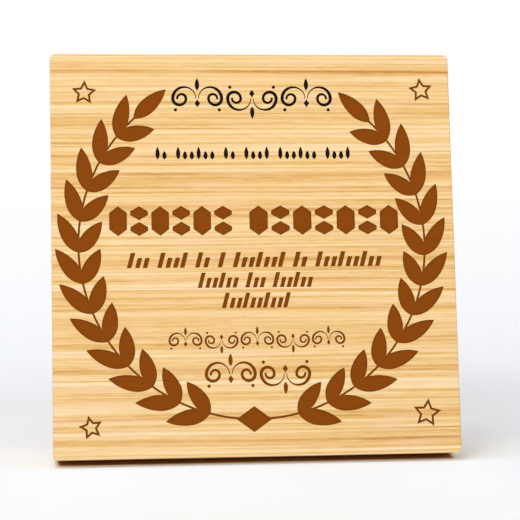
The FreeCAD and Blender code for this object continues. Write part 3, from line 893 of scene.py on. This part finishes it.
@dataclass
class Hinge:
    """A small brass butt hinge with rolled knuckles, in millimetres about its pin.

    Attributes:
        width: Both leaves, along the pin.
        reach: Each leaf, out from the pin.
        sheet: Thickness of the brass.
        knuckle: Outside radius of the rolls.
        lift: Wood to the rolls.
        middle: The leg leaf's roll, along the pin.
        play: Between neighbouring rolls.
        notch: Room round a roll in the other leaf.
        curl: How far the sheet goes round the pin, in degrees.
        curl_steps: Faces round that curl.
        neck_steps: Faces between the plate and the curl.
        corner: Rounded corners of the leaves.
        sink: Narrow and wide radius of the screw holes.
        screws: Screws from the middle and from the pin.
        tab: Length of the stop tab.
        tab_corner: Its rounded corners.
        tab_gap: The stop tab to the cleat's leaf.
        pin: Radius of the pin.
        head: Radius and length of the pin's heads.
    """

    width: float = 26.0
    reach: float = 13.0
    sheet: float = 0.8
    knuckle: float = 1.6
    lift: float = 0.25
    middle: float = 10.0
    play: float = 0.2
    notch: float = 0.3
    curl: float = 288.0
    curl_steps: int = 36
    neck_steps: int = 4
    corner: float = 1.8
    sink: tuple[float, float] = (0.9, 1.92)
    screws: tuple[float, float] = (8.6, 8.5)
    tab: float = 6.5
    tab_corner: float = 1.4
    tab_gap: float = 0.1
    pin: float = 0.75
    head: tuple[float, float] = (1.2, 0.6)

    def __post_init__(self) -> None:
        """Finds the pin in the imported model."""
        low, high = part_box("hinge_pin")
        centre = Matrix.Translation((low + high) / 2)
        self.at_pin = centre @ Matrix.Rotation(-LEAN, 4, "X")
        self.on_leg = centre @ Matrix.Rotation(LEG_TILT, 4, "X")
        self.wood = -(self.knuckle + self.lift)
        self.plate = self.wood + self.sheet / 2
        self.bend = self.knuckle - self.sheet / 2

    def build(self) -> None:
        """Makes the two leaves and the pin."""
        brass = Metal("hinge_brass", (0.86, 0.62, 0.26), (0.56, 0.38, 0.16), 0.3, 0.5).make()
        steel = Metal("pin_steel", (0.66, 0.66, 0.64), (0.4, 0.38, 0.35), 0.28, 0.3).make()
        fixed = self._leaf("fixed_leaf", Side.CLEAT)
        self._finish(fixed, brass, self.at_pin, "panel", "brass", "hinge_fixed_leaf")
        moving = self._leaf("moving_leaf", Side.LEG)
        moving.combine(self._stop_tab(), "UNION")
        self._finish(moving, brass, self.on_leg, "leg", "brass", "hinge_moving_leaf")
        self._finish(self._pin(), steel, self.at_pin, "panel", "pin_steel", "hinge_pin")

    @staticmethod
    def _finish(work: Workpiece, metal: bpy.types.Material, place: Matrix, body: str,
                slot: str, node: str) -> None:
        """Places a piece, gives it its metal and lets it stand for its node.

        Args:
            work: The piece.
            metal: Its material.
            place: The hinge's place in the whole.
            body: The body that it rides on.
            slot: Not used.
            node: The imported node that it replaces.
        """
        settle(work.object, place)
        paint(work.object, metal)
        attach(work.object, body)
        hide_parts(node)
        LOG.info("made %s, %d faces", work.object.name, len(work.object.data.polygons))

    def _leaf(self, name: str, side: Side) -> Workpiece:
        """A plate that is notched, rolled round the pin and drilled.

        Args:
            name: The piece's name.
            side: The way the plate points from the pin.

        Returns:
            The leaf, in the hinge's own directions.
        """
        way = side.value
        start = self.knuckle + self.notch
        tall = self.reach - start
        work = Workpiece(name, bpy.ops.mesh.primitive_plane_add, size=1.0, rotation=(math.pi / 2, 0, 0),
                         location=(0, self.plate, way * (start + tall / 2)))
        work.faces(lambda centre, normal: True)
        work.resize((self.width, 1, tall), (0, self.plate, way * (start + tall / 2)))
        parting = self.middle / 2 + (self.play if side is Side.CLEAT else 0.0)
        for edge in (-parting, parting):
            work.bisect((edge, 0, 0), (1, 0, 0))
        work.points(lambda point: abs(abs(point.x) - self.width / 2) < NEAR
                    and abs(point.z) > self.reach - NEAR)
        work.bevel(self.corner, 6, "VERTICES")
        self._roll(work, side, start, parting)
        work.tidy()
        work.modify("SOLIDIFY", thickness=self.sheet, offset=0.0, use_even_offset=True)
        for way_x in (-1, 1):
            work.combine(self._hole(way_x * self.screws[0], way * self.screws[1]), "DIFFERENCE")
        work.soften(ARRIS, 40)
        return work

    def _roll(self, work: Workpiece, side: Side, start: float, parting: float) -> None:
        """Draws the low edge of a plate into its rolls.

        Args:
            work: The plate.
            side: The way it points from the pin.
            start: The plate's low edge, from the pin.
            parting: Where the rolls change leaf, from the middle.
        """
        way = side.value

        def rolled(first: Vector, second: Vector, level: float) -> bool:
            """Tests an edge.

            Args:
                first: One end.
                second: The other end.
                level: The height where the rolls' edge now is.

            Returns:
                Whether it lies there and belongs to this leaf's rolls.
            """
            centre = (first + second) / 2
            outside = abs(centre.x) > parting
            return (abs(first.z - level) < NEAR and abs(second.z - level) < NEAR
                    and abs(first.x - second.x) > self.sheet / 2
                    and outside is (side is Side.CLEAT))

        level = way * start
        for left in range(self.neck_steps, 0, -1):
            work.edges(lambda first, second, at=level: rolled(first, second, at))
            turns = (math.pi * (self.neck_steps - left + more) / self.neck_steps for more in (0, 1))
            before, after = (0.5 - 0.5 * math.cos(turn) for turn in turns)
            rise = (after - before) * (-self.bend - self.plate)
            drop = -level / left
            work.extrude_edges(y=rise, z=drop)
            level += drop
        work.edges(lambda first, second: rolled(first, second, 0.0))
        work.spin(-way * math.radians(self.curl), self.curl_steps, (0, 0, 0), (1, 0, 0))

    def _hole(self, across: float, up: float) -> Workpiece:
        """A countersink cutter, a little longer than the sheet is thick.

        Args:
            across: Its place along the pin.
            up: Its place out from the pin.

        Returns:
            The cutter.
        """
        small, large = self.sink
        slope = (large - small) / self.sheet
        spare = 0.2
        return Workpiece("sink", bpy.ops.mesh.primitive_cone_add, vertices=40,
                         radius1=small - slope * spare, radius2=large + slope * spare,
                         depth=self.sheet + 2 * spare, rotation=(-math.pi / 2, 0, 0),
                         location=(across, self.plate, up))

    def _stop_tab(self) -> Workpiece:
        """The tab brazed on the leg's roll, which stops the leg against the cleat's leaf.

        Returns:
            The tab, turned to where it stands when the leg is open.
        """
        depth = self.wood + self.sheet + self.tab_gap + self.sheet / 2
        low = self.knuckle * 0.7
        work = Workpiece("tab", bpy.ops.mesh.primitive_cube_add, size=1.0,
                         location=(0, depth, (low + self.tab) / 2))
        work.faces(lambda centre, normal: True)
        work.resize((self.middle, self.sheet, self.tab - low), (0, depth, (low + self.tab) / 2))
        work.edges(lambda first, second: abs(first.x - second.x) < NEAR
                   and min(first.z, second.z) > self.tab - NEAR)
        work.bevel(self.tab_corner, 6)
        work.edges(lambda first, second: max(first.z, second.z) > low + NEAR)
        work.bevel(ARRIS, 2)
        pick(work.object)
        work.object.matrix_world = Matrix.Rotation(-LEAN - LEG_TILT, 4, "X")
        bpy.ops.object.transform_apply(location=True, rotation=True, scale=True)
        return work

    def _pin(self) -> Workpiece:
        """The pin, with a domed head at each end.

        Returns:
            The pin, about its own middle.
        """
        radius, length = self.head
        work = Workpiece("hinge_pin_domed", bpy.ops.mesh.primitive_cylinder_add, vertices=40,
                         radius=self.pin, depth=self.width, rotation=(0, math.pi / 2, 0))
        for way in (-1, 1):
            end = (way * self.width / 2, 0, 0)
            work.faces(lambda centre, normal, at=way: normal.x * at > 0.9)
            work.extrude()
            grow = radius / self.pin
            work.resize((1, grow, grow), end)
            work.extrude(x=way * length)
            work.edges(lambda first, second, at=way: min(first.x * at, second.x * at)
                       > self.width / 2 + length - NEAR)
            work.bevel(length * 0.75, 6)
        work.tidy()
        return work


@dataclass
class Screws:
    """Two countersunk wood screws in each leaf, in millimetres from the wood's surface.

    Attributes:
        hinge: The hinge that they hold.
        shank: Radius and length of the plain shank.
        head: Radius of the head.
        tip: Length of the point.
        slot: Width and depth of the screwdriver slot.
        turns: Where the screwdriver left the slots, in degrees.
    """

    hinge: Hinge
    shank: tuple[float, float] = (0.9, 3.2)
    head: float = 1.86
    tip: float = 1.2
    slot: tuple[float, float] = (0.45, 0.4)
    turns: tuple[float, float] = (25.0, 70.0)

    def build(self) -> None:
        """Makes one screw and copies it into its four holes."""
        metal = Metal("screw_brass", (0.82, 0.57, 0.22), (0.5, 0.33, 0.13), 0.26, 0.35).make()
        work = self._screw()
        spread, reach = self.hinge.screws
        for side, body, node in ((Side.CLEAT, "panel", "cleat_screws"), (Side.LEG, "leg", "leg_screws")):
            base = self.hinge.at_pin if side is Side.CLEAT else self.hinge.on_leg
            for way, label, turn in zip((-1, 1), ("left", "right"), self.turns):
                piece = work.copy(f"{node[:-1]}_{label}")
                spot = Matrix.Translation((way * spread * MM, self.hinge.wood * MM,
                                           side.value * reach * MM))
                place = base @ spot @ Matrix.Rotation(-math.pi / 2, 4, "X")
                settle(piece, place @ Matrix.Rotation(math.radians(turn), 4, "Z"))
                paint(piece, metal)
                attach(piece, body)
                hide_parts(node)
                LOG.info("made %s", piece.name)
        bpy.data.objects.remove(work.object)

    def _screw(self) -> Workpiece:
        """A screw that points down, its head's top level with the leaf.

        Returns:
            The screw, with the wood's surface at 0.
        """
        radius, length = self.shank
        sheet = self.hinge.sheet
        work = Workpiece("screw", bpy.ops.mesh.primitive_cylinder_add, vertices=40, radius=radius,
                         depth=length, location=(0, 0, -length / 2))
        work.faces(lambda centre, normal: normal.z > 0.9)
        work.extrude(z=sheet * 0.94)
        work.resize((self.head / radius, self.head / radius, 1), (0, 0, sheet))
        work.extrude(z=sheet * 0.06)
        work.faces(lambda centre, normal: normal.z < -0.9)
        work.extrude(z=-self.tip)
        work.resize((0.2, 0.2, 1), (0, 0, -length - self.tip))
        work.tidy()
        width, depth = self.slot
        cutter = Workpiece("slot", bpy.ops.mesh.primitive_cube_add, size=1.0,
                           location=(0, 0, sheet - depth / 2 + 0.1))
        cutter.faces(lambda centre, normal: True)
        cutter.resize((self.head * 3, width, depth + 0.2), (0, 0, sheet - depth / 2 + 0.1))
        cutter.edges(lambda first, second: max(first.z, second.z) < sheet - depth / 2
                     and abs(first.y - second.y) < NEAR)
        cutter.bevel(0.06, 2)
        work.combine(cutter, "DIFFERENCE")
        work.soften(0.05, 35)
        return work


# ---- studio


@dataclass
class Studio:
    """The floor, the lights and the camera.

    Attributes:
        reach: Half the width of the floor.
        eye: The camera's place.
        down: How far it looks down, in degrees.
        across: How far it is turned to the right, in degrees.
        lens: Its focal length, in millimetres.
        horizon: Brightness of the room near the horizon.
        ceiling: Brightness of the room overhead.
        haze: Heights where the one begins to turn into the other, and where it has.
        aim: Height that the lamps face, in metres.
        shadow_half_width: Half the width of the painted shadow strip under the tipped panel, in metres.
        shadow_depths: Front and back of that strip, in metres.
    """

    reach: float = 50.0
    eye: tuple[float, float, float] = (-0.075, -0.7074, 0.1287)
    down: float = 4.54
    across: float = 6.35
    lens: float = 130.15
    horizon: float = 1.0
    ceiling: float = 0.62
    haze: tuple[float, float] = (0.1, 0.35)
    aim: float = 0.07
    shadow_half_width: float = 0.0735
    shadow_depths: tuple[float, float] = (-0.0290, -0.0170)

    def build(self) -> None:
        """Sets up the whole studio."""
        bpy.context.scene.view_settings.view_transform = "Standard"
        self._floor()
        self._room()
        self._lamp("key_softbox", Vector((-0.8, -1.3, 1.05)), 0.7, 6.9)
        self._lamp("top_softbox", Vector((-0.45, -0.1, 1.9)), 1.0, 10.2)
        self._camera()

    def _floor(self) -> None:
        """A pale table: painted shade behind the plaque, a painted shadow under its tipped front edge,
        and a painted glow.
        """
        bpy.ops.object.select_all(action="DESELECT")
        bpy.ops.mesh.primitive_plane_add(size=2 * self.reach)
        floor = bpy.context.active_object
        floor.name = "studio_floor"
        graph = Graph("pale_table")
        right, back, up = graph.split(graph.place())
        mottle = graph.noise(graph.join(right * MOTTLE, back * MOTTLE, 0.0), 3.0)
        away = graph.node("ShaderNodeVectorMath", {"operation": "LENGTH"},
                          {0: graph.join(right, back, 0.0)}, output="Value")
        # Painted shade: the floor is greyer just behind the plaque and faintly blue in front.
        shade = graph.ramp(back / FLOOR_FAR, FLOOR_PAINTED_SHADE)
        shade = graph.blend((mottle * 0.06).clamped(), shade, FLOOR_GREY)
        side, (near, far) = self.shadow_half_width, self.shadow_depths
        # Painted shadow: a dark brown strip on the floor under the tipped front edge, deeper than the
        # lamps make it.
        painted_shadow_strip = (abs(right).between(side, side - MM)
                  * abs(back - (near + far) / 2).between((far - near) / 2, (far - near) / 2 - MM))
        # Painted light: a cool glow on the floor just in front of the plaque.
        cool = (back.between(*FILL_DEPTHS) * (back < FILL_EDGE)
                * abs(right).between(*FILL_WIDTHS))
        # Painted light: the floor glows, more the further it is from the plaque.
        glow = graph.blend(cool, graph.ramp(away / FLOOR_FAR, FLOOR_GLOW), COOL_FILL, "ADD")
        graph.surface(Base_Color=graph.blend(painted_shadow_strip, shade, SHADOW_BROWN), Roughness=0.6,
                      Specular_IOR_Level=0.2, Emission_Strength=1.0, Emission_Color=glow)
        paint(floor, graph.material)

    def _room(self) -> None:
        """A white room: bright at the horizon and softer overhead."""
        world = bpy.data.worlds.new("white_room")
        world.use_nodes = True
        bpy.context.scene.world = world
        nodes, links = world.node_tree.nodes, world.node_tree.links
        where = nodes.new("ShaderNodeTexCoord")
        split = nodes.new("ShaderNodeSeparateXYZ")
        ramp = nodes.new("ShaderNodeMapRange")
        ramp.interpolation_type = "SMOOTHSTEP"
        for socket, value in zip(("From Min", "From Max", "To Min", "To Max"),
                                 (*self.haze, self.horizon, self.ceiling)):
            ramp.inputs[socket].default_value = value
        links.new(where.outputs["Generated"], split.inputs[0])
        links.new(split.outputs["Z"], ramp.inputs["Value"])
        links.new(ramp.outputs[0], nodes["Background"].inputs["Strength"])
        nodes["Background"].inputs["Color"].default_value = (1.0, 1.0, 1.0, 1.0)

    def _lamp(self, name: str, place: Vector, size: float, power: float) -> None:
        """Hangs a square softbox that faces the plaque.

        Args:
            name: The lamp's name.
            place: Its place.
            size: Its side, in metres.
            power: Its power, in watts.
        """
        light = bpy.data.lights.new(name, "AREA")
        light.size = size
        light.energy = power
        lamp = bpy.data.objects.new(name, light)
        lamp.location = place
        towards = Vector((0, 0, self.aim)) - place
        lamp.rotation_euler = towards.to_track_quat("-Z", "Y").to_euler()
        bpy.context.scene.collection.objects.link(lamp)

    def _camera(self) -> None:
        """Puts the camera left of the middle, a little below the plaque's top."""
        lens = bpy.data.cameras.new("camera")
        lens.sensor_width = 36.0
        lens.lens = self.lens
        lens.clip_end = 50.0
        camera = bpy.data.objects.new("camera", lens)
        camera.location = self.eye
        camera.rotation_euler = (math.radians(90 - self.down), 0.0, math.radians(-self.across))
        bpy.context.scene.collection.objects.link(camera)
        bpy.context.scene.camera = camera


FLOOR_FAR = 4.0
# Painted shade on the floor: greyer just behind the plaque, where its shadow and the backdrop's shading
# fall, lighter further back; the faint blue offsets the wood's warm bounce light.
FLOOR_PAINTED_SHADE = (
    (0.0, srgb(252, 254, 255)),
    (0.004, srgb(243, 246, 251)),
    (0.03, srgb(240, 242, 247)),
    (0.1, srgb(241, 243, 247)),
    (0.2, srgb(244, 245, 248)),
    (1.0, srgb(246, 247, 249)),
)
# Painted light: the floor's own glow, none near the plaque, rising towards the far floor.
FLOOR_GLOW = tuple((place, (level,) * 3) for place, level in (
    (0.0, 0.0), (0.035, 0.0), (0.07, 0.09), (0.14, 0.16), (0.3, 0.26), (0.5, 0.34), (1.0, 0.42)))
FLOOR_GREY = srgb(225, 225, 228)
MOTTLE = 30.0                    # faint patches of grey to a metre
# colour of the painted shadow strip under the panel's front edge
SHADOW_BROWN = srgb(204, 146, 92)
COOL_FILL = (0.0, 0.06, 0.13)    # a cool glow painted into the floor in front of the plaque, against the warm light that the wood throws there
FILL_DEPTHS = (-0.16, -0.04)
FILL_WIDTHS = (0.12, 0.05)
FILL_EDGE = -0.033


def main() -> None:
    """Builds the plaque's looks and the studio, in order."""
    logging.basicConfig(level=logging.INFO, format="%(message)s")
    Timber().dress()
    hinge = Hinge()
    hinge.build()
    Screws(hinge).build()
    Studio().build()


if __name__ == "__main__":
    main()
